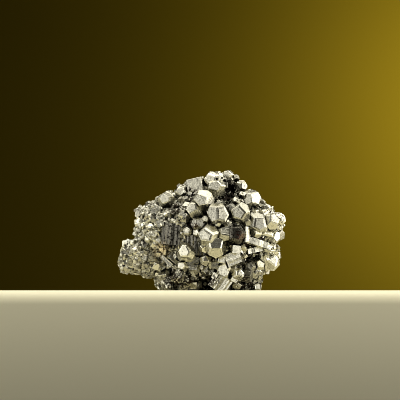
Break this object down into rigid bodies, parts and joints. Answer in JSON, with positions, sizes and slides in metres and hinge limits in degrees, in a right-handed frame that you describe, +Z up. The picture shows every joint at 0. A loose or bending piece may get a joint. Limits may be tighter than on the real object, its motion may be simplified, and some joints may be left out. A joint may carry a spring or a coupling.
{
  "type": "pyrite crystal cluster",
  "caption": "Natural lump of pyrite overgrown with pyritohedral and cubic crystals, fine-grained on one side, resting on a flat base.",
  "frame": {"origin": "middle of the bounding box in X and Y, at the level the cluster rests on", "axes": "+Z up, +X along the longest side towards the large-crystal end, the best side faces -Y"},
  "size_m": [0.084, 0.0538, 0.0604],
  "materials": {
    "pyrite": "natural crystal faces with a metallic lustre"
  },
  "bodies": {
    "root": {"pyrite_cluster": "pyrite"}
  },
  "joints": []
}
